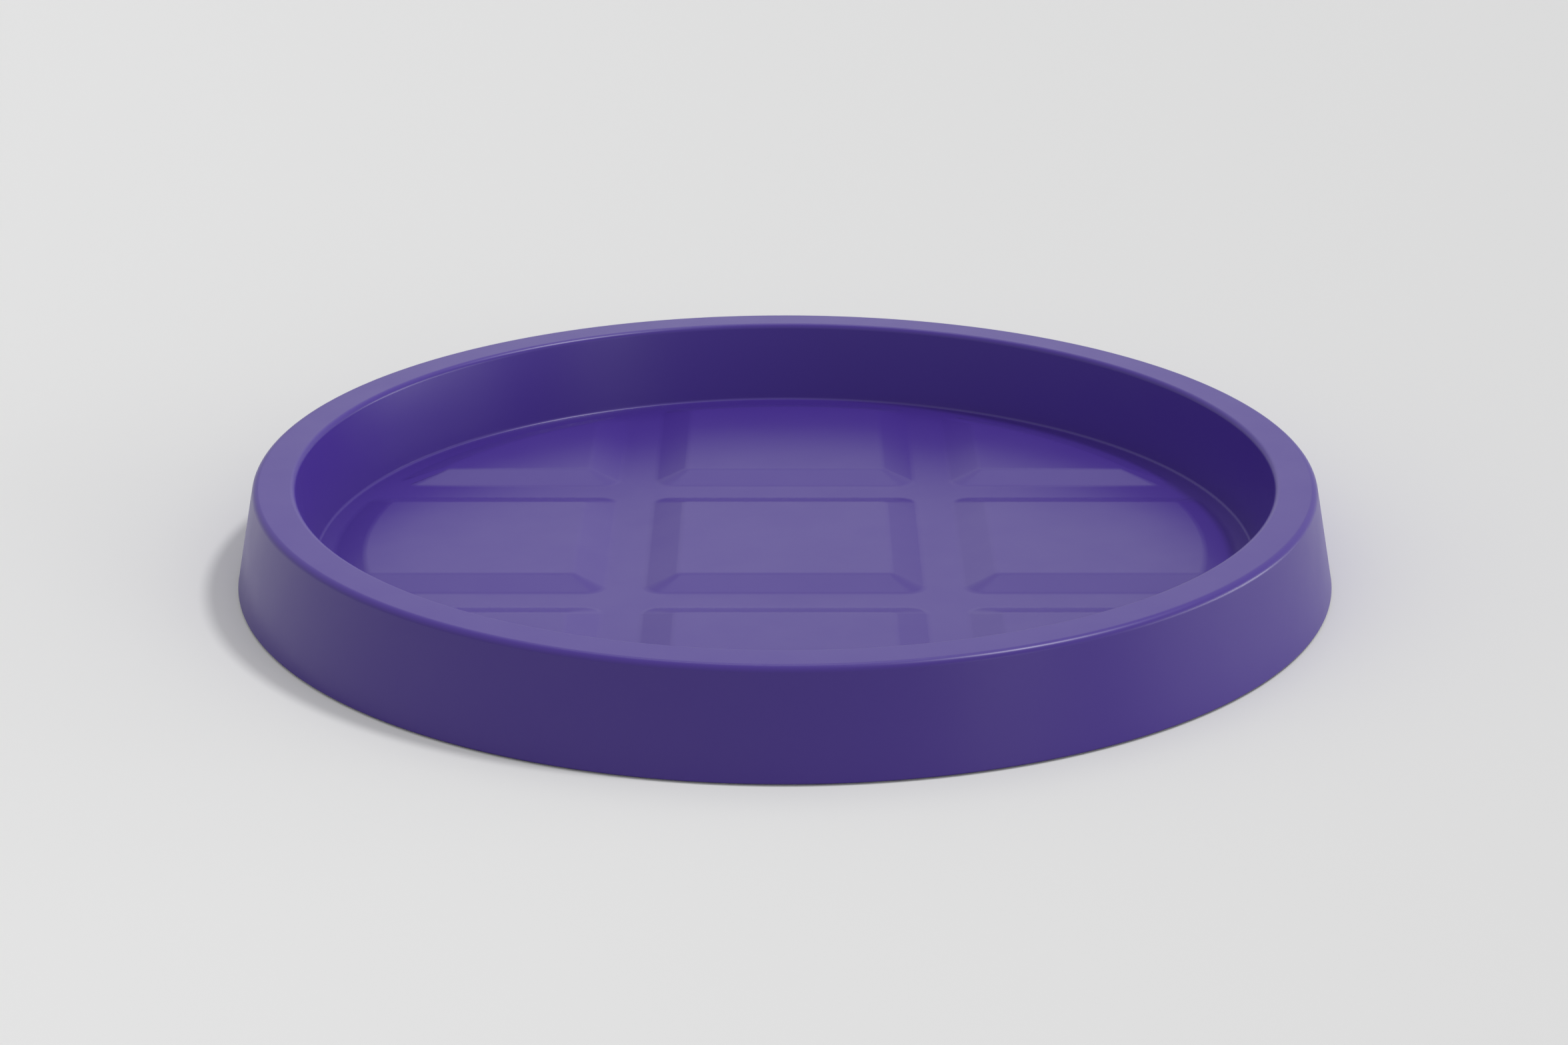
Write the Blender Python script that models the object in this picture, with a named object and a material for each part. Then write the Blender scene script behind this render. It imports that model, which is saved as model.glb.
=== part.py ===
"""Round plant saucer: one moulded shell with a hollow rim and a padded floor, standing on soft feet.

The shell is an inverted trough all round (skirt, flat rim, inner wall) with the floor hung between.
Nine pads stand on the floor, parted by water channels and a gutter along the wall.
Lengths are in millimetres up to the point where a mesh is made. The ground is z = 0.
"""

import math

import bmesh
import bpy
from mathutils import Matrix, Vector

MM = 0.001
WELD = 0.001
FLAT_ANGLE = math.radians(0.1)
SHARP_ANGLE = math.radians(30)

# Shell, with heights from the skirt's foot
BASE_RADIUS = 165.0
SHELL_HEIGHT = 30.8
RIM_OUTER_RADIUS = 159.1
RIM_INNER_RADIUS = 146.8
WALL_FOOT_RADIUS = 142.4
FLOOR_TOP = 5.1
WALL = 2.2
RIM_OUTER_ROUND = 2.2
RIM_INNER_ROUND = 1.8
WALL_FOOT_ROUND = 1.0
TROUGH_ROUND = 0.8
SKIRT_FOOT_ROUND = 0.4
FLOOR_CAP_RADIUS = 140.0
SHELL_SEGMENTS = 96
MOST_ARC_SEGMENTS = 3

# Pads on the floor, with some sizes given on top and at the foot
PAD_HEIGHT = 2.5
PAD_HALF = 31.6
PAD_PITCH = 94.3
PAD_SLOPE = 9.8
PAD_CIRCLE_TOP = 127.1
PAD_CIRCLE_FOOT = 136.5
PAD_CIRCLE_SEGMENTS = 8
PAD_CORNER_TOP = 1.6
PAD_CORNER_FOOT = 5.5
PAD_CORNER_SEGMENTS = 3
PAD_TIP_TOP = 2.0
PAD_TIP_FOOT = 5.0
PAD_TIP_SEGMENTS = 4

# Webs that stiffen the hollow rim
WEB_COUNT = 24
WEB_THICKNESS = 1.5
WEB_FOOT = 12.0

# Feet, and the collars under the floor that hold them
FOOT_CIRCLE = 135.6
FOOT_STAND = 0.5
FOOT_RADIUS = 4.5
FOOT_ROUND = 0.8
FOOT_SEGMENTS = 20
FOOT_ARC_SEGMENTS = 2
COLLAR_WALL = 1.2
COLLAR_HEIGHT = 1.7
GAP = 0.3
BURIED = 1.0

# Finishes: sRGB colour, roughness
SHELL_FINISH = ("#4A3096", 0.36)
FOOT_FINISH = ("#3A3A3D", 0.75)


def clear_scene():
    """Empty the scene, so that the saucer stands alone in it."""
    for found in list(bpy.data.objects):
        bpy.data.objects.remove(found, do_unlink=True)


def linear(hex_colour):
    """Linear red, green, blue and alpha of an sRGB hex colour."""
    channels = [int(hex_colour[i:i + 2], 16) / 255 for i in (1, 3, 5)]
    return [c / 12.92 if c <= 0.04045 else ((c + 0.055) / 1.055) ** 2.4 for c in channels] + [1.0]


def plastic(name, finish):
    """Principled material of a non-metal finish."""
    colour, roughness = finish
    material = bpy.data.materials.new(name)
    material.use_nodes = True
    shader = material.node_tree.nodes["Principled BSDF"]
    shader.inputs["Base Color"].default_value = linear(colour)
    shader.inputs["Roughness"].default_value = roughness
    shader.inputs["Metallic"].default_value = 0.0
    return material


def on_line(start, end, height):
    """Radius at a height on the straight line between two section points."""
    share = (height - start.y) / (end.y - start.y)
    return start.x + share * (end.x - start.x)


def rounded(corners):
    """Section points with each corner's radius turned into an arc; corners are (radius, height, round)."""
    places = [Vector((r, z)) for r, z, _ in corners]
    points = []
    for i, (_, _, fillet) in enumerate(corners):
        here = places[i]
        if fillet == 0.0:
            points.append(here)
            continue
        back = (places[i - 1] - here).normalized()
        ahead = (places[(i + 1) % len(places)] - here).normalized()
        half = back.angle(ahead) / 2
        centre = here + (back + ahead).normalized() * (fillet / math.sin(half))
        start = here + back * (fillet / math.tan(half)) - centre
        end = here + ahead * (fillet / math.tan(half)) - centre
        turn = start.angle_signed(end)
        segments = min(math.ceil(fillet), MOST_ARC_SEGMENTS)
        for step in range(segments + 1):
            points.append(centre + Matrix.Rotation(-turn * step / segments, 2) @ start)
    return points


def add_object(name, mesh):
    """A linked object with its faces shaded smooth up to a sharp angle."""
    mesh.shade_smooth()
    mesh.set_sharp_from_angle(angle=SHARP_ANGLE)
    made = bpy.data.objects.new(name, mesh)
    bpy.context.scene.collection.objects.link(made)
    return made


def mesh_from(name, bm):
    """Mesh of a finished bmesh, in metres, with its faces pointing out."""
    bmesh.ops.remove_doubles(bm, verts=bm.verts, dist=WELD)
    bmesh.ops.recalc_face_normals(bm, faces=bm.faces)
    bmesh.ops.scale(bm, vec=(MM, MM, MM), verts=bm.verts)
    mesh = bpy.data.meshes.new(name)
    bm.to_mesh(mesh)
    bm.free()
    return mesh


def turn_section(bm, section, segments, closed, centre=(0.0, 0.0)):
    """Spin a section of (radius, height) points about a vertical axis; an open one is capped flat."""
    verts = [bm.verts.new((centre[0] + r, centre[1], z)) for r, z in section]
    edges = [bm.edges.new(pair) for pair in zip(verts, verts[1:])]
    if closed:
        edges.append(bm.edges.new((verts[-1], verts[0])))
    axis_point = (centre[0], centre[1], 0.0)
    bmesh.ops.spin(bm, geom=verts + edges, cent=axis_point, axis=(0, 0, 1),
                   angle=math.tau, steps=segments, use_merge=True)
    if not closed:
        rims = [edge for edge in bm.edges if edge.is_boundary]
        bmesh.ops.holes_fill(bm, edges=rims, sides=0)


def shell_section():
    """Half section of the moulding, from the floor's top round the rim to the floor's underside."""
    rim_under = SHELL_HEIGHT - WALL
    skirt_foot = Vector((BASE_RADIUS - WALL, 0.0))
    skirt_top = Vector((RIM_OUTER_RADIUS - WALL, SHELL_HEIGHT))
    wall_foot = Vector((WALL_FOOT_RADIUS + WALL, FLOOR_TOP))
    wall_top = Vector((RIM_INNER_RADIUS + WALL, SHELL_HEIGHT))
    floor_under = FLOOR_TOP - WALL
    return rounded([
        (FLOOR_CAP_RADIUS, FLOOR_TOP, 0.0),
        (WALL_FOOT_RADIUS, FLOOR_TOP, WALL_FOOT_ROUND),
        (RIM_INNER_RADIUS, SHELL_HEIGHT, RIM_INNER_ROUND),
        (RIM_OUTER_RADIUS, SHELL_HEIGHT, RIM_OUTER_ROUND),
        (BASE_RADIUS, 0.0, SKIRT_FOOT_ROUND),
        (skirt_foot.x, 0.0, SKIRT_FOOT_ROUND),
        (on_line(skirt_foot, skirt_top, rim_under), rim_under, TROUGH_ROUND),
        (on_line(wall_foot, wall_top, rim_under), rim_under, TROUGH_ROUND),
        (on_line(wall_foot, wall_top, floor_under), floor_under, WALL_FOOT_ROUND + WALL),
        (FLOOR_CAP_RADIUS, floor_under, 0.0),
    ])


def arc(centre, radius, start, end, segments):
    """Points on an arc about a centre, from one angle to another."""
    angles = [start + (end - start) * step / segments for step in range(segments + 1)]
    return [centre + radius * Vector((math.cos(angle), math.sin(angle))) for angle in angles]


def corner_arc(centre, radius, quarter):
    """Round of a pad's square corner, a quarter turn; the quarters are counted from +X, +Y."""
    return arc(centre, radius, quarter * math.pi / 2, (quarter + 1) * math.pi / 2, PAD_CORNER_SEGMENTS)


def tip_arc(side, inwards, reach, radius):
    """Round near +X from a pad's side at y = side onto the pad circle; inwards points into the pad."""
    middle = side + inwards * radius
    centre = Vector((math.sqrt((reach - radius) ** 2 - middle ** 2), middle))
    return arc(centre, radius, -inwards * math.pi / 2, math.atan2(centre.y, centre.x), PAD_TIP_SEGMENTS)


def circle_side(first, last, reach):
    """A pad's outer side: two tips with an arc of the pad circle between them."""
    start, end = (math.atan2(point.y, point.x) for point in (first[-1], last[0]))
    return first + arc(Vector((0.0, 0.0)), reach, start, end, PAD_CIRCLE_SEGMENTS)[1:-1] + last


def pad_outlines(height):
    """Outlines at one height of the middle pad, the pad on +X and the pad between +X and +Y."""
    below = (FLOOR_TOP + PAD_HEIGHT - height) / PAD_HEIGHT
    half = PAD_HALF + PAD_SLOPE * below
    near = PAD_PITCH - half
    reach = PAD_CIRCLE_TOP + (PAD_CIRCLE_FOOT - PAD_CIRCLE_TOP) * below
    corner = PAD_CORNER_TOP + (PAD_CORNER_FOOT - PAD_CORNER_TOP) * below
    tip = PAD_TIP_TOP + (PAD_TIP_FOOT - PAD_TIP_TOP) * below
    middle_pad = []
    for quarter, signs in enumerate(((1, 1), (-1, 1), (-1, -1), (1, -1))):
        middle_pad += corner_arc(Vector(signs) * (half - corner), corner, quarter)
    side_pad = circle_side(tip_arc(-half, 1, reach, tip), tip_arc(half, -1, reach, tip)[::-1], reach)
    side_pad += corner_arc(Vector((near + corner, half - corner)), corner, 1)
    side_pad += corner_arc(Vector((near + corner, corner - half)), corner, 2)
    first_tip = tip_arc(near, 1, reach, tip)
    corner_pad = circle_side(first_tip, [point.yx for point in reversed(first_tip)], reach)
    corner_pad += corner_arc(Vector((near + corner, near + corner)), corner, 2)
    return middle_pad, side_pad, corner_pad


def add_pad(bm, foot, top):
    """One tapered block between the outlines of a pad's foot and top."""
    foot_ring, top_ring = ([bm.verts.new(point) for point in outline] for outline in (foot, top))
    bm.faces.new(foot_ring)
    bm.faces.new(top_ring)
    for k in range(len(foot_ring)):
        bm.faces.new((foot_ring[k], foot_ring[k - 1], top_ring[k - 1], top_ring[k]))


def pads_mesh():
    """The nine pads, each from a little under the floor's top to its own top."""
    blocks = bmesh.new()
    low, high = FLOOR_TOP - BURIED, FLOOR_TOP + PAD_HEIGHT
    for copies, foot, top in zip((1, 4, 4), pad_outlines(low), pad_outlines(high)):
        for k in range(copies):
            turn = Matrix.Rotation(k * math.pi / 2, 2)
            add_pad(blocks, [(*(turn @ point), low) for point in foot],
                    [(*(turn @ point), high) for point in top])
    bmesh.ops.connect_verts_nonplanar(blocks, angle_limit=FLAT_ANGLE, faces=blocks.faces)
    return mesh_from("pads", blocks)


def foot_places():
    """Names and places of the feet: under each channel crossing, and where each channel meets the gutter."""
    middle = PAD_PITCH / 2
    reach = math.sqrt(FOOT_CIRCLE ** 2 - middle ** 2)
    signs = [(1, 1), (-1, 1), (-1, -1), (1, -1)]
    crossings = [(sx * middle, sy * middle) for sx, sy in signs]
    ends = [(sx * x, sy * y) for sx, sy in signs for x, y in ((reach, middle), (middle, reach))]
    named = [(f"foot_crossing_{i}", place) for i, place in enumerate(crossings, 1)]
    return named + [(f"foot_gutter_{i}", place) for i, place in enumerate(ends, 1)]


def collars_mesh():
    """Short rings under the floor, one round each foot."""
    bore = FOOT_RADIUS + GAP
    low = FLOOR_TOP - WALL - COLLAR_HEIGHT
    high = FLOOR_TOP - WALL + BURIED
    section = [(bore, high), (bore + COLLAR_WALL, high), (bore + COLLAR_WALL, low), (bore, low)]
    rings = bmesh.new()
    for _, place in foot_places():
        turn_section(rings, section, FOOT_SEGMENTS, closed=True, centre=place)
    return mesh_from("collars", rings)


def webs_mesh():
    """Upright webs across the hollow rim, each running into the wall, the rim and the skirt."""
    half_wall = WALL / 2
    high = SHELL_HEIGHT - half_wall
    skirt = (Vector((BASE_RADIUS - half_wall, 0.0)),
             Vector((RIM_OUTER_RADIUS - half_wall, SHELL_HEIGHT)))
    wall = (Vector((WALL_FOOT_RADIUS + half_wall, FLOOR_TOP)),
            Vector((RIM_INNER_RADIUS + half_wall, SHELL_HEIGHT)))
    outline = [
        (on_line(*wall, WEB_FOOT), WEB_FOOT),
        (on_line(*skirt, WEB_FOOT), WEB_FOOT),
        (on_line(*skirt, high), high),
        (on_line(*wall, high), high),
    ]
    # Half a facet off, so that every web stands in the middle of one of the shell's facets
    half_facet = math.pi / SHELL_SEGMENTS
    webs = bmesh.new()
    for k in range(WEB_COUNT):
        turn = Matrix.Rotation(math.tau * k / WEB_COUNT + half_facet, 3, "Z")
        side = [webs.verts.new((r, -WEB_THICKNESS / 2, z)) for r, z in outline]
        face = webs.faces.new(side)
        swept = bmesh.ops.extrude_face_region(webs, geom=[face])["geom"]
        far_side = [v for v in swept if isinstance(v, bmesh.types.BMVert)]
        bmesh.ops.translate(webs, vec=(0, WEB_THICKNESS, 0), verts=far_side)
        bmesh.ops.rotate(webs, cent=(0, 0, 0), matrix=turn, verts=side + far_side)
    return mesh_from("webs", webs)


def combine(target, tool, operation):
    """Add an exact Boolean of the tool to the target, and mark the tool as a guide."""
    step = target.modifiers.new(tool.name, "BOOLEAN")
    step.operation = operation
    step.solver = "EXACT"
    step.object = tool
    tool.hide_render = True
    tool.display_type = "WIRE"


def build_shell(base):
    """The moulded shell: turned section, pads with their hollows, foot collars and rim webs."""
    turned = bmesh.new()
    turn_section(turned, shell_section(), SHELL_SEGMENTS, closed=False)
    mesh = mesh_from("saucer_shell", turned)
    mesh.materials.append(plastic("moulded_polypropylene", SHELL_FINISH))
    shell = add_object("saucer_shell", mesh)
    shell.parent = base
    shell.location.z = FOOT_STAND * MM
    pads = pads_mesh()
    steps = [
        ("pads", pads, 0.0, "UNION"),
        ("pad_hollows", pads, -WALL, "DIFFERENCE"),
        ("foot_collars", collars_mesh(), 0.0, "UNION"),
        ("rim_webs", webs_mesh(), 0.0, "UNION"),
    ]
    for name, tool_mesh, drop, operation in steps:
        tool = add_object(name, tool_mesh)
        tool.parent = shell
        tool.location.z = drop * MM
        combine(shell, tool, operation)
    return shell


def build_feet(base):
    """Soft feet, each pressed into its own collar and standing a little below the skirt."""
    rubber = plastic("thermoplastic_rubber", FOOT_FINISH)
    top = FOOT_STAND + FLOOR_TOP - WALL - GAP
    arc = [math.pi / 2 * step / FOOT_ARC_SEGMENTS for step in range(FOOT_ARC_SEGMENTS + 1)]
    inner = FOOT_RADIUS - FOOT_ROUND
    section = [(inner + FOOT_ROUND * math.sin(a), FOOT_ROUND * (1 - math.cos(a))) for a in arc]
    section.append((FOOT_RADIUS, top))
    profile = bmesh.new()
    turn_section(profile, section, FOOT_SEGMENTS, closed=False)
    mesh = mesh_from("foot", profile)
    mesh.materials.append(rubber)
    for name, (x, y) in foot_places():
        foot = add_object(name, mesh)
        foot.parent = base
        foot.location = (x * MM, y * MM, 0.0)


def main():
    """Build the saucer on an empty at the middle of its base."""
    clear_scene()
    base = bpy.data.objects.new("plant_saucer", None)
    bpy.context.scene.collection.objects.link(base)
    build_shell(base)
    build_feet(base)
    bpy.context.view_layer.update()


main()
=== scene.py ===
"""Round plant saucer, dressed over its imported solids: one satin purple moulding on twelve soft feet.

Sizes are in millimetres up to the point where an operator is called. The ground is z = 0. Heights on
the shell are measured from the skirt's foot, which the feet hold a little above the ground.
"""

import logging
import math
from collections.abc import Callable, Iterator, Sequence
from contextlib import contextmanager
from dataclasses import dataclass, field
from enum import Enum
from functools import partial

import bmesh
import bpy
from mathutils import Matrix, Vector


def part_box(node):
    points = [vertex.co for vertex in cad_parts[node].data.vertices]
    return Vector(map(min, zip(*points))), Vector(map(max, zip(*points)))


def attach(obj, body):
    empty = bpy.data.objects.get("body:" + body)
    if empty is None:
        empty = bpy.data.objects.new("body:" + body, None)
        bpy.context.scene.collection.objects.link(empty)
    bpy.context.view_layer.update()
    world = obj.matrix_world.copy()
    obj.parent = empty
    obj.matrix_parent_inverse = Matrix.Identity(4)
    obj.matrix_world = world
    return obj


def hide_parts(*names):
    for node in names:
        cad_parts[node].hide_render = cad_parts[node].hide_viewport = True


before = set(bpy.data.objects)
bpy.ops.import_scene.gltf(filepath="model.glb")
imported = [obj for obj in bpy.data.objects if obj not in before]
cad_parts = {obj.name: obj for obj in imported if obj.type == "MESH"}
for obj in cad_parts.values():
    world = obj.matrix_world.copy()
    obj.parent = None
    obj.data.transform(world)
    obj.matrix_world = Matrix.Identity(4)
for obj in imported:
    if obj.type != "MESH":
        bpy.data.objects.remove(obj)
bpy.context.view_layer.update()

LOG = logging.getLogger("plant_saucer")
BODY = "root"

MM = 0.001
WELD = 0.002 * MM
SLIVER = 5 * WELD
ARC_STEP = math.radians(9)
LEAST_ARC_STEPS = 2
SMOOTH_ANGLE = math.radians(35)
RIGHT_ANGLE = math.pi / 2


class Combine(Enum):
    """How one solid works on another."""

    ADD = "UNION"
    CUT = "DIFFERENCE"


class Slot(Enum):
    """Names for the material slots of the shell and the feet."""

    SHELL = "shell"
    FEET = "feet"


# Modelling steps that the pieces share

def deselect_all() -> None:
    """Leave edit mode and clear the selection."""
    if bpy.context.object is not None and bpy.context.object.mode != "OBJECT":
        bpy.ops.object.mode_set(mode="OBJECT")
    bpy.ops.object.select_all(action="DESELECT")


def make_active(piece: bpy.types.Object) -> None:
    """Select one piece alone and make it the active one.

    Args:
        piece: The piece to work on.
    """
    deselect_all()
    piece.select_set(True)
    bpy.context.view_layer.objects.active = piece


@contextmanager
def editing(piece: bpy.types.Object) -> Iterator[None]:
    """Edit mode on one piece, with its whole mesh selected.

    Args:
        piece: The piece to edit.

    Yields:
        Nothing; the piece is in edit mode until the block ends.
    """
    make_active(piece)
    bpy.ops.object.mode_set(mode="EDIT")
    bpy.ops.mesh.select_mode(type="VERT")
    bpy.ops.mesh.select_all(action="SELECT")
    yield
    bpy.ops.object.mode_set(mode="OBJECT")


def start_piece(name: str) -> bpy.types.Object:
    """A new piece at the origin that holds a single vertex there.

    Args:
        name: The piece's name.

    Returns:
        The new piece, in object mode.
    """
    deselect_all()
    bpy.ops.mesh.primitive_plane_add(size=MM)
    piece = bpy.context.object
    piece.name = name
    piece.data.name = name
    bpy.ops.object.mode_set(mode="EDIT")
    bpy.ops.mesh.merge(type="CENTER")
    bpy.ops.object.mode_set(mode="OBJECT")
    return piece


def select_edges(piece: bpy.types.Object, test: Callable[[bmesh.types.BMEdge], bool]) -> int:
    """In edit mode, select the edges that pass a test and nothing else.

    Args:
        piece: The piece in edit mode.
        test: Says whether an edge is wanted.

    Returns:
        How many edges were selected.
    """
    bpy.ops.mesh.select_mode(type="EDGE")
    bpy.ops.mesh.select_all(action="DESELECT")
    mesh = bmesh.from_edit_mesh(piece.data)
    wanted = [edge for edge in mesh.edges if test(edge)]
    for edge in wanted:
        edge.select_set(True)
    bmesh.update_edit_mesh(piece.data)
    return len(wanted)


def close_mesh() -> None:
    """In edit mode, merge doubles, fill open rims and turn all faces outwards."""
    bpy.ops.mesh.select_mode(type="EDGE")
    bpy.ops.mesh.select_all(action="SELECT")
    bpy.ops.mesh.remove_doubles(threshold=WELD)
    bpy.ops.mesh.select_all(action="DESELECT")
    bpy.ops.mesh.select_non_manifold(use_wire=False, use_multi_face=False,
                                     use_non_contiguous=False, use_verts=False)
    bpy.ops.mesh.fill_holes(sides=0)
    bpy.ops.mesh.select_all(action="SELECT")
    bpy.ops.mesh.normals_make_consistent(inside=False)


def upright(points: Sequence[Vector]) -> list[Vector]:
    """Section points of (radius, height), stood up in the XZ plane."""
    return [Vector((point.x, 0.0, point.y)) for point in points]


def level(points: Sequence[Vector], height: float) -> list[Vector]:
    """Plan points of (x, y), laid at a height."""
    return [point.to_3d() + Vector((0.0, 0.0, height)) for point in points]


def trace(name: str, points: Sequence[Vector]) -> bpy.types.Object:
    """Draw an outline, one extruded vertex after another.

    Args:
        name: The new piece's name.
        points: Outline points in millimetres.

    Returns:
        The new piece, a chain of edges.
    """
    piece = start_piece(name)
    with editing(piece):
        bpy.ops.transform.translate(value=points[0] * MM)
        for here, there in zip(points, points[1:]):
            bpy.ops.mesh.extrude_vertices_move(TRANSFORM_OT_translate={"value": (there - here) * MM})
    return piece


def join(pieces: Sequence[bpy.types.Object]) -> bpy.types.Object:
    """Join pieces into the first of them.

    Args:
        pieces: The pieces, of which the first is kept.

    Returns:
        The joined piece.
    """
    make_active(pieces[0])
    for piece in pieces[1:]:
        piece.select_set(True)
    bpy.ops.object.join()
    return pieces[0]


def loft(name: str, foot: Sequence[Vector], top: Sequence[Vector]) -> bpy.types.Object:
    """A closed solid between two outlines that have the same number of points.

    Args:
        name: The new piece's name.
        foot: Points of the lower outline, in millimetres.
        top: Points of the upper outline, in the same order.

    Returns:
        The new piece.
    """
    solid = join([trace(name, [*outline, outline[0]]) for outline in (foot, top)])
    with editing(solid):
        bpy.ops.mesh.remove_doubles(threshold=WELD)
        bpy.ops.mesh.select_mode(type="EDGE")
        bpy.ops.mesh.bridge_edge_loops()
        close_mesh()
    return solid


def repeat_round(piece: bpy.types.Object, count: int) -> None:
    """Repeat a whole mesh evenly round the upright axis.

    Args:
        piece: The piece, which holds the first one.
        count: How many there are in the end.
    """
    with editing(piece):
        bpy.ops.mesh.spin(steps=count - 1, dupli=True, angle=math.tau * (count - 1) / count,
                          center=(0, 0, 0), axis=(0, 0, 1))


def turn(piece: bpy.types.Object, steps: int) -> None:
    """Spin a traced outline once round the upright axis and close what stays open.

    Args:
        piece: The traced piece.
        steps: Facets in one turn.
    """
    with editing(piece):
        bpy.ops.mesh.spin(steps=steps, angle=math.tau, center=(0, 0, 0), axis=(0, 0, 1))
        close_mesh()


def move_mesh(piece: bpy.types.Object, offset: Vector) -> None:
    """Shift a whole mesh by an offset in millimetres, leaving its object at the origin."""
    with editing(piece):
        bpy.ops.transform.translate(value=offset * MM)


def copy_piece(piece: bpy.types.Object, name: str, offset: Vector) -> bpy.types.Object:
    """A copy of a piece with a mesh of its own, shifted by an offset.

    Args:
        piece: The piece to copy.
        name: The copy's name.
        offset: Shift in millimetres.

    Returns:
        The copy.
    """
    make_active(piece)
    bpy.ops.object.duplicate(linked=False)
    twin = bpy.context.object
    twin.name = name
    twin.data.name = name
    move_mesh(twin, offset)
    return twin


def combine(target: bpy.types.Object, tool: bpy.types.Object, how: Combine) -> None:
    """Work one solid on another with an exact Boolean, then throw the tool away.

    Args:
        target: The solid that is kept.
        tool: The solid that works on it.
        how: Add or cut.
    """
    make_active(target)
    bpy.ops.object.modifier_add(type="BOOLEAN")
    step = target.modifiers[-1]
    step.operation = how.value
    step.solver = "EXACT"
    step.object = tool
    bpy.ops.object.modifier_apply(modifier=step.name)
    bpy.data.objects.remove(tool, do_unlink=True)


def shade(piece: bpy.types.Object) -> None:
    """Shade a piece smooth, with its flat faces kept flat right up to their rounded edges.

    Args:
        piece: The finished piece.
    """
    make_active(piece)
    bpy.ops.object.shade_smooth_by_angle(angle=SMOOTH_ANGLE)
    bpy.ops.object.modifier_add(type="WEIGHTED_NORMAL")
    step = piece.modifiers[-1]
    step.keep_sharp = True
    bpy.ops.object.modifier_apply(modifier=step.name)


def dress(piece: bpy.types.Object, material: bpy.types.Material, node: str) -> None:
    """Give a piece its finish and set it in the frame.

    Args:
        piece: The finished piece.
        material: Its finish.
        node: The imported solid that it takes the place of.
    """
    piece.data.materials.clear()
    piece.data.materials.append(material)
    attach(piece, BODY)
    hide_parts(node)
    LOG.info("%s: %d faces", piece.name, len(piece.data.polygons))


# Section drawing

def on_line(start: Vector, end: Vector, height: float) -> Vector:
    """Point at a height on the straight line through two section points."""
    return start.lerp(end, (height - start.y) / (end.y - start.y))


def rounded(corners: Sequence[tuple[Vector, float]]) -> list[Vector]:
    """Turn the corners of a section into arcs.

    Args:
        corners: Each corner's place and the radius of its round, in millimetres; 0 stays sharp.

    Returns:
        Section points, with as many on each arc as its turn needs.
    """
    points = []
    for i, (here, radius) in enumerate(corners):
        if radius == 0.0:
            points.append(here)
            continue
        back = (corners[i - 1][0] - here).normalized()
        ahead = (corners[(i + 1) % len(corners)][0] - here).normalized()
        half = back.angle(ahead) / 2
        centre = here + (back + ahead).normalized() * (radius / math.sin(half))
        start = here + back * (radius / math.tan(half)) - centre
        end = here + ahead * (radius / math.tan(half)) - centre
        sweep = start.angle_signed(end)
        steps = max(LEAST_ARC_STEPS, math.ceil(abs(sweep) / ARC_STEP))
        points += [centre + Matrix.Rotation(-sweep * k / steps, 2) @ start for k in range(steps + 1)]
    return points


def arc(centre: Vector, radius: float, start: float, end: float, steps: int) -> list[Vector]:
    """Points on an arc, both ends included.

    Args:
        centre: Middle of the arc's circle.
        radius: Its radius.
        start: Angle of the first point, from X towards Y.
        end: Angle of the last point.
        steps: Stretches that the arc is drawn with.

    Returns:
        The points in order.
    """
    angles = [start + (end - start) * k / steps for k in range(steps + 1)]
    return [centre + radius * Vector((math.cos(angle), math.sin(angle))) for angle in angles]


# Node building

def linear(hex_colour: str) -> tuple[float, float, float, float]:
    """Linear colour of an sRGB hex value.

    Args:
        hex_colour: Colour such as "#4A3096".

    Returns:
        Linear red, green, blue and an alpha of 1.
    """
    channels = [int(hex_colour[i:i + 2], 16) / 255 for i in (1, 3, 5)]
    red, green, blue = [c / 12.92 if c <= 0.04045 else ((c + 0.055) / 1.055) ** 2.4 for c in channels]
    return red, green, blue, 1.0


def add_node(tree: bpy.types.NodeTree, kind: str, inputs: dict[str | int, object] | None = None,
             **settings: object) -> bpy.types.Node:
    """Add a node with its settings, values and links.

    Args:
        tree: The node tree.
        kind: Blender's name of the node type.
        inputs: For an input's name or number, a value or the output socket that feeds it.
        **settings: The node's own properties.

    Returns:
        The new node.
    """
    node = tree.nodes.new(kind)
    for name, value in settings.items():
        setattr(node, name, value)
    for key, value in (inputs or {}).items():
        if isinstance(value, bpy.types.NodeSocket):
            tree.links.new(value, node.inputs[key])
        else:
            node.inputs[key].default_value = value
    return node


def noise(tree: bpy.types.NodeTree, size: float, detail: float) -> bpy.types.NodeSocket:
    """Noise that is fixed to the piece.

    Args:
        tree: The node tree.
        size: About how far the pattern takes to repeat, in millimetres.
        detail: Finer layers of noise on top of the first.

    Returns:
        The noise, from 0 to 1.
    """
    place = add_node(tree, "ShaderNodeTexCoord").outputs["Object"]
    inputs = {"Vector": place, "Scale": 1.0 / (size * MM), "Detail": detail}
    return add_node(tree, "ShaderNodeTexNoise", inputs).outputs["Fac"]


def blend(tree: bpy.types.NodeTree, factor: bpy.types.NodeSocket, first: str,
          second: str) -> bpy.types.NodeSocket:
    """Blend of two colours.

    Args:
        tree: The node tree.
        factor: Share of the second colour.
        first: Hex value of the first colour.
        second: Hex value of the second colour.

    Returns:
        The blended colour.
    """
    inputs = {"Factor": factor, "A": linear(first), "B": linear(second)}
    return add_node(tree, "ShaderNodeMix", inputs, data_type="RGBA").outputs["Result"]


def grained(tree: bpy.types.NodeTree, grain: bpy.types.NodeSocket, depth: float) -> bpy.types.NodeSocket:
    """Surface direction under a fine grain.

    Args:
        tree: The node tree.
        grain: The grain's height, from 0 to 1.
        depth: How deep the grain is, in millimetres.

    Returns:
        The surface direction.
    """
    inputs = {"Height": grain, "Distance": depth * MM, "Strength": 1.0}
    return add_node(tree, "ShaderNodeBump", inputs).outputs["Normal"]


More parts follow.
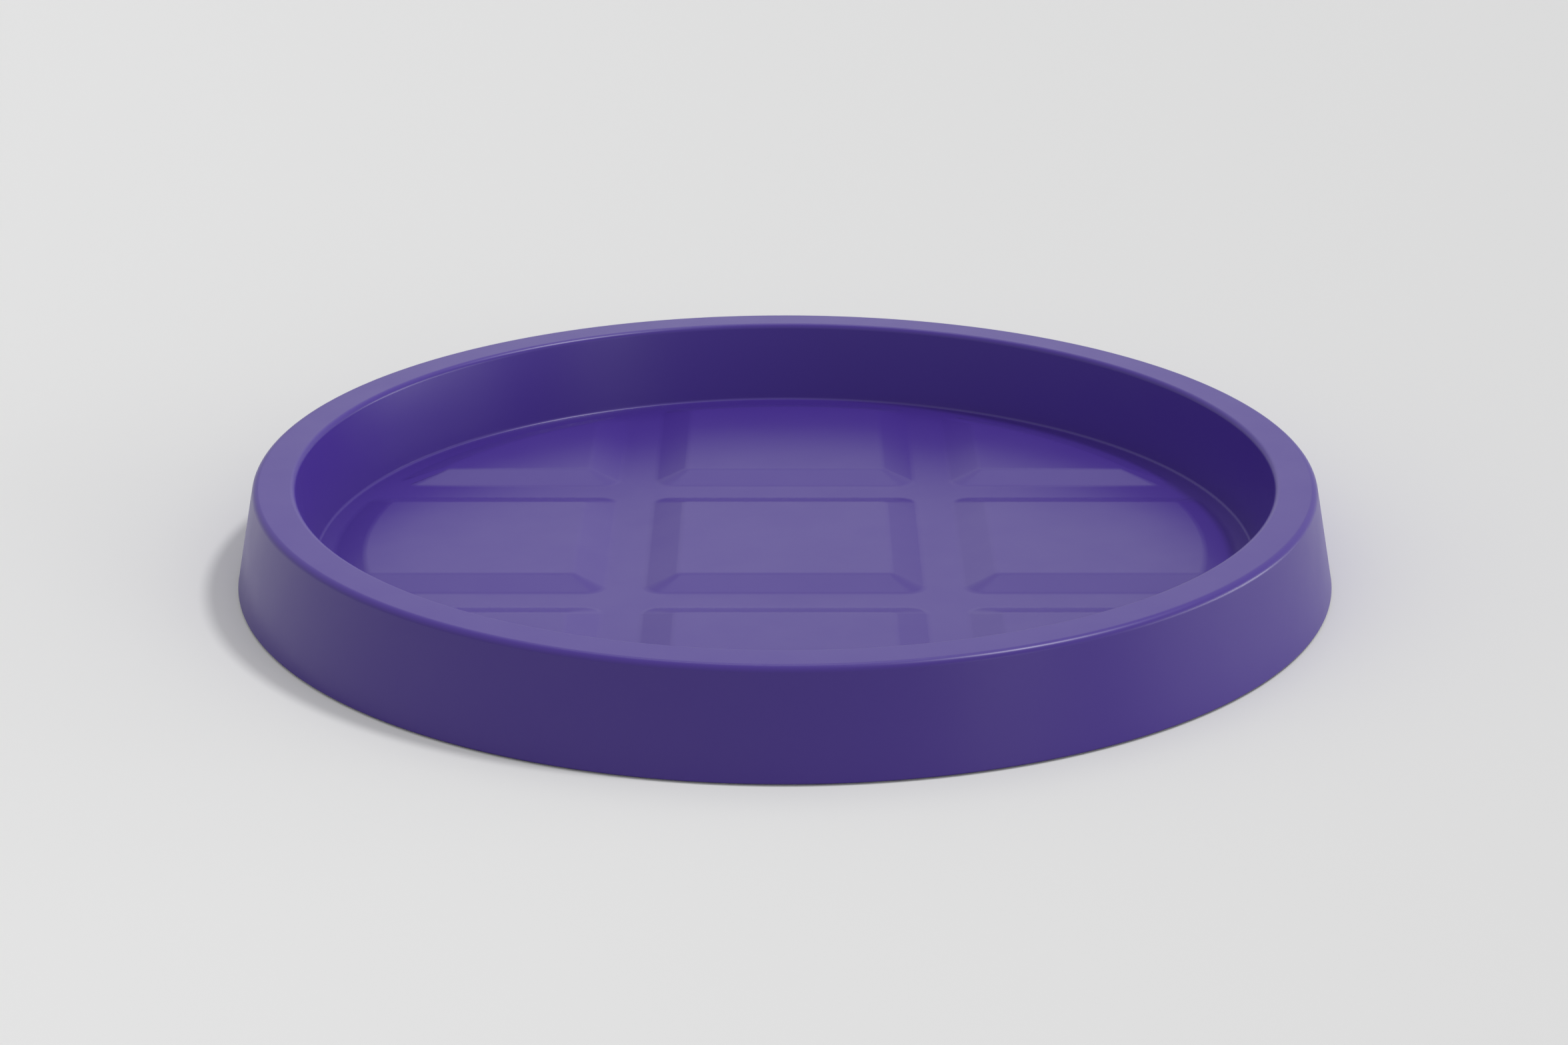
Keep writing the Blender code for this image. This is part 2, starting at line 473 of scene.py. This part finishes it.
def new_material(name: str) -> bpy.types.Material:
    """An empty node material.

    Args:
        name: The material's name.

    Returns:
        The material.
    """
    material = bpy.data.materials.new(name)
    material.use_nodes = True
    material.node_tree.nodes.clear()
    return material


# Finishes

@dataclass(frozen=True)
class MouldedPolypropylene:
    """Polypropylene moulded in a fine satin tool: a soft sheen, an even colour and hardly any grain.

    The melt leaves a faint cloudiness in colour and gloss, a hand wide, and the tool a fine grit.
    """

    name: str = "moulded_polypropylene"
    colour: str = "#4A3096"
    cloud_colour: str = "#482F93"
    cloud_size: float = 55.0
    gloss_size: float = 14.0
    # The tool's grit is about 0.1 mm; it is drawn at 0.6 mm so that it shows at all
    grit_size: float = 0.6
    grit_depth: float = 0.004
    # Noise below the first value is the glossiest plastic, and above the second the dullest
    noise_low: float = 0.3
    noise_high: float = 0.7
    roughness_low: float = 0.315
    roughness_high: float = 0.345
    ior: float = 1.49

    def material(self) -> bpy.types.Material:
        """The finish as a node material.

        Returns:
            The material.
        """
        material = new_material(self.name)
        tree = material.node_tree
        colour = blend(tree, noise(tree, self.cloud_size, detail=2.0), self.colour, self.cloud_colour)
        roughness = add_node(tree, "ShaderNodeMapRange",
                             {"Value": noise(tree, self.gloss_size, detail=3.0),
                              "From Min": self.noise_low, "From Max": self.noise_high,
                              "To Min": self.roughness_low, "To Max": self.roughness_high})
        normal = grained(tree, noise(tree, self.grit_size, detail=1.0), self.grit_depth)
        shader = add_node(tree, "ShaderNodeBsdfPrincipled",
                          {"Base Color": colour, "Roughness": roughness.outputs["Result"],
                           "Normal": normal, "IOR": self.ior, "Metallic": 0.0})
        add_node(tree, "ShaderNodeOutputMaterial", {"Surface": shader.outputs["BSDF"]})
        return material


@dataclass(frozen=True)
class ThermoplasticRubber:
    """Soft thermoplastic rubber, moulded dull: dark grey, no shine, a dusty bloom on its skin."""

    name: str = "thermoplastic_rubber"
    colour: str = "#3A3A3D"
    bloom_colour: str = "#4C4C4F"
    bloom_size: float = 2.5
    grain_size: float = 0.35
    grain_depth: float = 0.02
    roughness: float = 0.78
    ior: float = 1.51

    def material(self) -> bpy.types.Material:
        """The finish as a node material.

        Returns:
            The material.
        """
        material = new_material(self.name)
        tree = material.node_tree
        colour = blend(tree, noise(tree, self.bloom_size, detail=3.0), self.colour, self.bloom_colour)
        normal = grained(tree, noise(tree, self.grain_size, detail=2.0), self.grain_depth)
        shader = add_node(tree, "ShaderNodeBsdfPrincipled",
                          {"Base Color": colour, "Roughness": self.roughness,
                           "Normal": normal, "IOR": self.ior, "Metallic": 0.0})
        add_node(tree, "ShaderNodeOutputMaterial", {"Surface": shader.outputs["BSDF"]})
        return material


@dataclass(frozen=True)
class PaleFloor:
    """Matt pale grey studio floor.

    The camera and every reflection see the pale colour. What the floor throws back onto the saucer is
    dimmer, as from a floor that lies farther below.
    """

    name: str = "matt_floor_paint"
    colour: str = "#F2F2F2"
    bounce_colour: str = "#898989"
    roughness: float = 0.9

    def material(self) -> bpy.types.Material:
        """The finish as a node material.

        Returns:
            The material.
        """
        material = new_material(self.name)
        tree = material.node_tree
        ray = add_node(tree, "ShaderNodeLightPath").outputs
        seen = add_node(tree, "ShaderNodeMath", {0: ray["Is Camera Ray"], 1: ray["Is Glossy Ray"]},
                        operation="ADD")
        seen = add_node(tree, "ShaderNodeMath", {0: seen.outputs[0], 1: ray["Is Transmission Ray"]},
                        operation="ADD", use_clamp=True)
        colour = blend(tree, seen.outputs[0], self.bounce_colour, self.colour)
        shader = add_node(tree, "ShaderNodeBsdfDiffuse", {"Color": colour, "Roughness": self.roughness})
        add_node(tree, "ShaderNodeOutputMaterial", {"Surface": shader.outputs["BSDF"]})
        return material


# The saucer's own pieces

@dataclass(frozen=True)
class PadGrid:
    """Nine raised pads in a three by three grid, rounded to a circle, with channels between them.

    Some sizes are given on top and at the foot, because all sides slope.
    """

    height: float = 2.5
    half: float = 31.6
    pitch: float = 94.3
    slope: float = 9.8
    outer_of_a_kind: int = 4
    circle_top: float = 127.1
    circle_foot: float = 136.5
    circle_steps: int = 24
    corner_top: float = 1.6
    corner_foot: float = 5.5
    corner_steps: int = 8
    tip_top: float = 2.0
    tip_foot: float = 5.0
    tip_steps: int = 14
    buried: float = 1.0

    def corner(self, centre: Vector, radius: float, quarter: int) -> list[Vector]:
        """Round of a pad's square corner.

        Args:
            centre: Middle of the round.
            radius: Its radius.
            quarter: Which quarter of the turn it is, counted from +X, +Y.

        Returns:
            The round's points.
        """
        return arc(centre, radius, quarter * RIGHT_ANGLE, (quarter + 1) * RIGHT_ANGLE, self.corner_steps)

    def tip(self, side: float, inwards: int, reach: float, radius: float) -> list[Vector]:
        """Round near +X from a pad's straight side onto the pad circle.

        Args:
            side: Where the straight side lies in Y.
            inwards: 1 for a pad above that side, -1 for one below it.
            reach: Radius of the pad circle.
            radius: Radius of the round.

        Returns:
            The round's points, from the side to the circle.
        """
        middle = side + inwards * radius
        centre = Vector((math.sqrt((reach - radius) ** 2 - middle ** 2), middle))
        return arc(centre, radius, -inwards * RIGHT_ANGLE, math.atan2(centre.y, centre.x), self.tip_steps)

    def outer_side(self, first: list[Vector], last: list[Vector], reach: float) -> list[Vector]:
        """A pad's outer side: two tips with an arc of the pad circle between them.

        Args:
            first: Points of the first tip.
            last: Points of the other tip.
            reach: Radius of the pad circle.

        Returns:
            The side's points, both tips included.
        """
        start, end = (math.atan2(point.y, point.x) for point in (first[-1], last[0]))
        return first + arc(Vector((0.0, 0.0)), reach, start, end, self.circle_steps)[1:-1] + last

    def outlines(self, below: float) -> tuple[list[Vector], list[Vector], list[Vector]]:
        """Outlines of the three kinds of pad at one level.

        Args:
            below: Share of the pads' height that lies above this level.

        Returns:
            The middle pad, the pad on +X and the pad between +X and +Y.
        """
        half = self.half + self.slope * below
        near = self.pitch - half
        reach = self.circle_top + (self.circle_foot - self.circle_top) * below
        corner = self.corner_top + (self.corner_foot - self.corner_top) * below
        tip = self.tip_top + (self.tip_foot - self.tip_top) * below
        middle_pad = []
        for quarter, signs in enumerate(((1, 1), (-1, 1), (-1, -1), (1, -1))):
            middle_pad += self.corner(Vector(signs) * (half - corner), corner, quarter)
        last_tip = self.tip(half, -1, reach, tip)[::-1]
        side_pad = self.outer_side(self.tip(-half, 1, reach, tip), last_tip, reach)
        side_pad += self.corner(Vector((near + corner, half - corner)), corner, 1)
        side_pad += self.corner(Vector((near + corner, corner - half)), corner, 2)
        first_tip = self.tip(near, 1, reach, tip)
        corner_pad = self.outer_side(first_tip, [point.yx for point in reversed(first_tip)], reach)
        corner_pad += self.corner(Vector((near + corner, near + corner)), corner, 2)
        return middle_pad, side_pad, corner_pad

    def build(self, floor: float) -> bpy.types.Object:
        """Loft one pad of each kind and repeat the outer ones round the middle one.

        Args:
            floor: Height of the floor that the pads stand on.

        Returns:
            The pads as one piece, buried a little in the floor.
        """
        low, high = floor - self.buried, floor + self.height
        feet = self.outlines((high - low) / self.height)
        tops = self.outlines(0.0)
        kinds = [loft("pads", level(foot, low), level(top, high)) for foot, top in zip(feet, tops)]
        for kind in kinds[1:]:
            repeat_round(kind, self.outer_of_a_kind)
        return join(kinds)


@dataclass
class SaucerShell:
    """The moulding: sloping skirt, flat rim, inner wall and floor in one, hollow below.

    Heights are from the skirt's foot. The section is turned from the cap radius outwards, and the floor's
    middle is then filled. What is called buried is how far an added form reaches into the wall it joins.
    """

    base_radius: float = 165.0
    height: float = 30.8
    rim_outer: float = 159.1
    rim_inner: float = 146.8
    wall_foot: float = 142.4
    floor_top: float = 5.1
    wall: float = 2.2
    rim_outer_round: float = 2.2
    rim_inner_round: float = 1.8
    wall_foot_round: float = 1.0
    trough_round: float = 0.8
    skirt_foot_round: float = 0.4
    cap_radius: float = 140.0
    steps: int = 288
    stand: float = 0.5
    pad_edge: float = 1.0
    pad_edge_steps: int = 4
    hollow_edge: float = 0.3
    sharp_turn: float = math.radians(10)
    least_facing: float = 0.2
    web_count: int = 24
    web_thickness: float = 1.5
    web_foot: float = 12.0
    web_turn: float = math.pi / 96
    collar_bore: float = 4.8
    collar_wall: float = 1.2
    collar_height: float = 1.7
    collar_round: float = 0.3
    round_steps: int = 48
    buried: float = 1.0
    gate_radius: float = 2.0
    gate_tip_radius: float = 1.6
    gate_height: float = 0.8
    gate_round: float = 0.2
    pin_radius: float = 3.5
    pin_depth: float = 0.15
    pin_share_of_pitch: float = 0.9
    pads: PadGrid = field(default_factory=PadGrid)
    finish: MouldedPolypropylene = field(default_factory=MouldedPolypropylene)

    @property
    def floor_under(self) -> float:
        """Height of the floor's underside."""
        return self.floor_top - self.wall

    @property
    def ceiling(self) -> float:
        """Height of the underside of the pads' tops."""
        return self.floor_top + self.pads.height - self.wall

    def section(self) -> list[Vector]:
        """Half section, from the floor's top round the rim to the floor's underside.

        Returns:
            Section points as (radius, height).
        """
        under = self.height - self.wall
        skirt = (Vector((self.base_radius - self.wall, 0.0)),
                 Vector((self.rim_outer - self.wall, self.height)))
        wall = (Vector((self.wall_foot + self.wall, self.floor_top)),
                Vector((self.rim_inner + self.wall, self.height)))
        return rounded([
            (Vector((self.cap_radius, self.floor_top)), 0.0),
            (Vector((self.wall_foot, self.floor_top)), self.wall_foot_round),
            (Vector((self.rim_inner, self.height)), self.rim_inner_round),
            (Vector((self.rim_outer, self.height)), self.rim_outer_round),
            (Vector((self.base_radius, 0.0)), self.skirt_foot_round),
            (skirt[0], self.skirt_foot_round),
            (on_line(*skirt, under), self.trough_round),
            (on_line(*wall, under), self.trough_round),
            (on_line(*wall, self.floor_under), self.wall_foot_round + self.wall),
            (Vector((self.cap_radius, self.floor_under)), 0.0),
        ])

    def webs(self) -> bpy.types.Object:
        """Upright webs that stiffen the hollow rim, one drawn and the rest spun off it.

        Returns:
            All webs as one piece.
        """
        half = self.wall / 2
        high = self.height - half
        skirt = (Vector((self.base_radius - half, 0.0)),
                 Vector((self.rim_outer - half, self.height)))
        wall = (Vector((self.wall_foot + half, self.floor_top)),
                Vector((self.rim_inner + half, self.height)))
        outline = [on_line(*wall, self.web_foot), on_line(*skirt, self.web_foot),
                   on_line(*skirt, high), on_line(*wall, high)]
        webs = trace("rim_webs", upright(outline))
        thickness = self.web_thickness * MM
        with editing(webs):
            bpy.ops.mesh.edge_face_add()
            bpy.ops.mesh.extrude_region_move(TRANSFORM_OT_translate={"value": (0, thickness, 0)})
            bpy.ops.mesh.select_all(action="SELECT")
            bpy.ops.transform.translate(value=(0, -thickness / 2, 0))
            bpy.ops.transform.rotate(value=-self.web_turn, orient_axis="Z", center_override=(0, 0, 0))
            close_mesh()
        repeat_round(webs, self.web_count)
        return webs

    def collars(self, places: Sequence[Vector]) -> bpy.types.Object:
        """Short rings under the floor that hold the feet, one turned and the rest copied.

        Args:
            places: Middle of each foot, in millimetres.

        Returns:
            All collars as one piece.
        """
        low = self.floor_under - self.collar_height
        high = self.floor_under + self.buried
        outer = self.collar_bore + self.collar_wall
        outline = rounded([
            (Vector((self.collar_bore, high)), 0.0),
            (Vector((self.collar_bore, low)), self.collar_round),
            (Vector((outer, low)), self.collar_round),
            (Vector((outer, high)), 0.0),
        ])
        outline.append(outline[0])
        collars = trace("foot_collars", upright(outline))
        turn(collars, self.round_steps)
        with editing(collars):
            here = Vector((0.0, 0.0))
            for place in places[:-1]:
                bpy.ops.transform.translate(value=(place - here).to_3d() * MM)
                here = place
                bpy.ops.mesh.duplicate_move()
            bpy.ops.transform.translate(value=(places[-1] - here).to_3d() * MM)
        return collars

    def gate_mark(self) -> bpy.types.Object:
        """Stub of the sprue under the middle pad, where the melt went in.

        Returns:
            The stub.
        """
        high = self.ceiling + self.buried
        low = self.ceiling - self.gate_height
        outline = rounded([
            (Vector((0.0, high)), 0.0),
            (Vector((self.gate_radius, high)), 0.0),
            (Vector((self.gate_tip_radius, low)), self.gate_round),
            (Vector((0.0, low)), 0.0),
        ])
        mark = trace("gate_mark", upright(outline))
        turn(mark, self.round_steps)
        return mark

    def pin_marks(self) -> bpy.types.Object:
        """Shallow discs that the ejector pins left under the eight outer pads.

        Returns:
            All discs as one piece.
        """
        pitch = self.pads.pitch * MM
        depth = (self.pin_depth + self.buried) * MM
        middle = self.ceiling * MM + self.pin_depth * MM - depth / 2
        share = self.pin_share_of_pitch
        marks = start_piece("pin_marks")
        with editing(marks):
            bpy.ops.mesh.delete(type="VERT")
            for x in (-pitch, 0.0, pitch):
                for y in (-pitch, 0.0, pitch):
                    if x or y:
                        bpy.ops.mesh.primitive_cylinder_add(vertices=self.round_steps, depth=depth,
                                                            radius=self.pin_radius * MM,
                                                            location=(x * share, y * share, middle))
        return marks

    def on_pads(self, edge: bmesh.types.BMEdge, up: float, floor: float) -> bool:
        """Whether an edge runs round a pad along its top or its foot, on one side of the floor.

        Args:
            edge: The edge.
            up: 1 on the floor's upper side, -1 on its underside.
            floor: Height of the floor on that side.

        Returns:
            Whether it is such an edge.
        """
        levels = (floor * MM, (floor + self.pads.height) * MM)
        reach = (self.pads.circle_foot + self.buried) * MM
        ends = [vertex.co for vertex in edge.verts]
        return (len(edge.link_faces) == 2
                and all(face.normal.z * up > self.least_facing for face in edge.link_faces)
                and any(all(abs(end.z - z) < WELD for end in ends) for z in levels)
                and all(end.to_2d().length < reach for end in ends)
                and edge.calc_face_angle(0.0) > self.sharp_turn)

    def soften_pad_edges(self, shell: bpy.types.Object) -> None:
        """Round the pads' crisp edges above, and those of their hollows below.

        Args:
            shell: The moulding, with its pads and hollows.
        """
        sides = ((1.0, self.floor_top, self.pad_edge), (-1.0, self.floor_under, self.hollow_edge))
        for up, floor, width in sides:
            with editing(shell):
                found = select_edges(shell, partial(self.on_pads, up=up, floor=floor))
                bpy.ops.mesh.bevel(offset=width * MM, segments=self.pad_edge_steps, affect="EDGES",
                                   clamp_overlap=False, loop_slide=True)
            LOG.info("%d pad edges rounded by %.1f mm", found, width)

    def build(self, places: Sequence[Vector]) -> None:
        """Turn the section, add the pads and hollows, round their edges, add the rest and dress it all.

        Args:
            places: Middle of each foot, in millimetres.
        """
        shell = trace("shell_moulding", upright(self.section()))
        turn(shell, self.steps)
        pads = self.pads.build(self.floor_top)
        hollows = copy_piece(pads, "pad_hollows", Vector((0.0, 0.0, -self.wall)))
        combine(shell, pads, Combine.ADD)
        combine(shell, hollows, Combine.CUT)
        with editing(shell):
            bpy.ops.mesh.remove_doubles(threshold=WELD)
        self.soften_pad_edges(shell)
        with editing(shell):
            bpy.ops.mesh.dissolve_degenerate(threshold=SLIVER)
        combine(shell, self.collars(places), Combine.ADD)
        combine(shell, self.webs(), Combine.ADD)
        combine(shell, self.gate_mark(), Combine.ADD)
        combine(shell, self.pin_marks(), Combine.CUT)
        move_mesh(shell, Vector((0.0, 0.0, self.stand)))
        shade(shell)
        dress(shell, self.finish.material(), "saucer_shell")


@dataclass
class SoftFeet:
    """Soft round feet, each pressed into a collar under the floor."""

    radius: float = 4.5
    foot_round: float = 0.8
    top: float = 3.1
    top_round: float = 0.3
    dimple_radius: float = 1.8
    dimple_run: float = 0.5
    dimple_depth: float = 0.25
    dimple_round: float = 0.2
    steps: int = 48
    finish: ThermoplasticRubber = field(default_factory=ThermoplasticRubber)

    def nodes(self) -> list[str]:
        """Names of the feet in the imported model."""
        return sorted(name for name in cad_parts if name.startswith("foot_"))

    def places(self) -> list[Vector]:
        """Middle of each foot in millimetres, in the order of the nodes."""
        boxes = [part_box(node) for node in self.nodes()]
        return [((low + high) / 2 / MM).to_2d() for low, high in boxes]

    def pattern(self) -> bpy.types.Object:
        """One foot at the origin: a disc with rounded edges and a dimple in its sole.

        Returns:
            The foot that the others are copied from.
        """
        outline = rounded([
            (Vector((0.0, self.dimple_depth)), 0.0),
            (Vector((self.dimple_radius, self.dimple_depth)), self.dimple_round),
            (Vector((self.dimple_radius + self.dimple_run, 0.0)), self.dimple_round),
            (Vector((self.radius, 0.0)), self.foot_round),
            (Vector((self.radius, self.top)), self.top_round),
            (Vector((0.0, self.top)), 0.0),
        ])
        foot = trace("foot_pattern", upright(outline))
        turn(foot, self.steps)
        shade(foot)
        return foot

    def build(self) -> None:
        """Model one foot, copy it to every place and dress the copies."""
        pattern = self.pattern()
        rubber = self.finish.material()
        for node, place in zip(self.nodes(), self.places()):
            foot = copy_piece(pattern, f"soft_{node}", place.to_3d())
            dress(foot, rubber, node)
        bpy.data.objects.remove(pattern, do_unlink=True)


# The studio

@dataclass(frozen=True)
class SoftLamp:
    """A broad soft lamp, far enough off to light the whole floor evenly.

    The azimuth runs from the camera's side round to the right, and the spread is the angle that the
    lamp fills as seen from the saucer. A light of 1 on a surface that faces it shows a colour as written.
    The distance, in metres, only says where the lamp hangs in the scene.
    """

    name: str
    azimuth: float
    elevation: float
    spread: float
    light: float
    distance: float = 3.0

    def build(self) -> None:
        """Hang the lamp."""
        azimuth, elevation = math.radians(self.azimuth), math.radians(self.elevation)
        towards = Vector((math.sin(azimuth) * math.cos(elevation), -math.cos(azimuth) * math.cos(elevation),
                          math.sin(elevation)))
        deselect_all()
        bpy.ops.object.light_add(type="SUN", location=towards * self.distance,
                                 rotation=towards.to_track_quat("Z", "Y").to_euler())
        lamp = bpy.context.object
        lamp.name = self.name
        lamp.data.name = self.name
        lamp.data.angle = math.radians(self.spread)
        lamp.data.energy = self.light * math.pi


@dataclass
class Studio:
    """Pale floor, soft lamps and the camera.

    The floor's size and the nearest distance that the camera sees are in metres.
    """

    floor_size: float = 40.0
    room_colour: str = "#FFFFFF"
    room_light: float = 0.55
    lens: float = 77.01
    sensor: float = 36.0
    camera_place: tuple[float, float, float] = (-0.28, -957.6, 363.0)
    camera_pitch: float = 0.3508
    camera_near: float = 0.01
    lamps: tuple[SoftLamp, ...] = (
        SoftLamp("right_lamp", azimuth=98.0, elevation=63.0, spread=8.0, light=0.32),
        SoftLamp("right_low_lamp", azimuth=108.0, elevation=1.0, spread=20.0, light=0.235),
        SoftLamp("right_side_lamp", azimuth=88.0, elevation=2.0, spread=24.0, light=0.13),
        SoftLamp("front_right_lamp", azimuth=45.0, elevation=5.0, spread=20.0, light=0.045),
        SoftLamp("back_lamp", azimuth=180.0, elevation=60.0, spread=26.0, light=0.07),
        SoftLamp("back_low_lamp", azimuth=180.0, elevation=20.0, spread=24.0, light=0.014),
    )
    floor_finish: PaleFloor = field(default_factory=PaleFloor)

    def floor(self) -> None:
        """Lay the floor and give it its finish."""
        deselect_all()
        bpy.ops.mesh.primitive_plane_add(size=self.floor_size)
        floor = bpy.context.object
        floor.name = "studio_floor"
        floor.data.materials.append(self.floor_finish.material())

    def room(self) -> None:
        """Even light from the room itself, with colours shown as they are."""
        scene = bpy.context.scene
        world = bpy.data.worlds.new("studio_room")
        world.use_nodes = True
        background = world.node_tree.nodes["Background"]
        background.inputs["Color"].default_value = linear(self.room_colour)
        background.inputs["Strength"].default_value = self.room_light
        scene.world = world
        scene.view_settings.view_transform = "Standard"

    def camera(self) -> None:
        """Set the camera where the photograph was taken from."""
        deselect_all()
        bpy.ops.object.camera_add(location=Vector(self.camera_place) * MM,
                                  rotation=(RIGHT_ANGLE - self.camera_pitch, 0.0, 0.0))
        camera = bpy.context.object
        camera.name = "studio_camera"
        camera.data.sensor_width = self.sensor
        camera.data.lens = self.lens
        camera.data.clip_start = self.camera_near
        camera.data.dof.use_dof = False
        bpy.context.scene.camera = camera

    def build(self) -> None:
        """Set up floor, room, lamps and camera."""
        self.floor()
        self.room()
        for lamp in self.lamps:
            lamp.build()
        self.camera()


def main() -> None:
    """Build and dress the saucer's pieces and set up the studio."""
    logging.basicConfig(level=logging.INFO, format="%(name)s: %(message)s")
    feet = SoftFeet()
    SaucerShell().build(feet.places())
    feet.build()
    Studio().build()
    deselect_all()


if __name__ == "__main__":
    main()
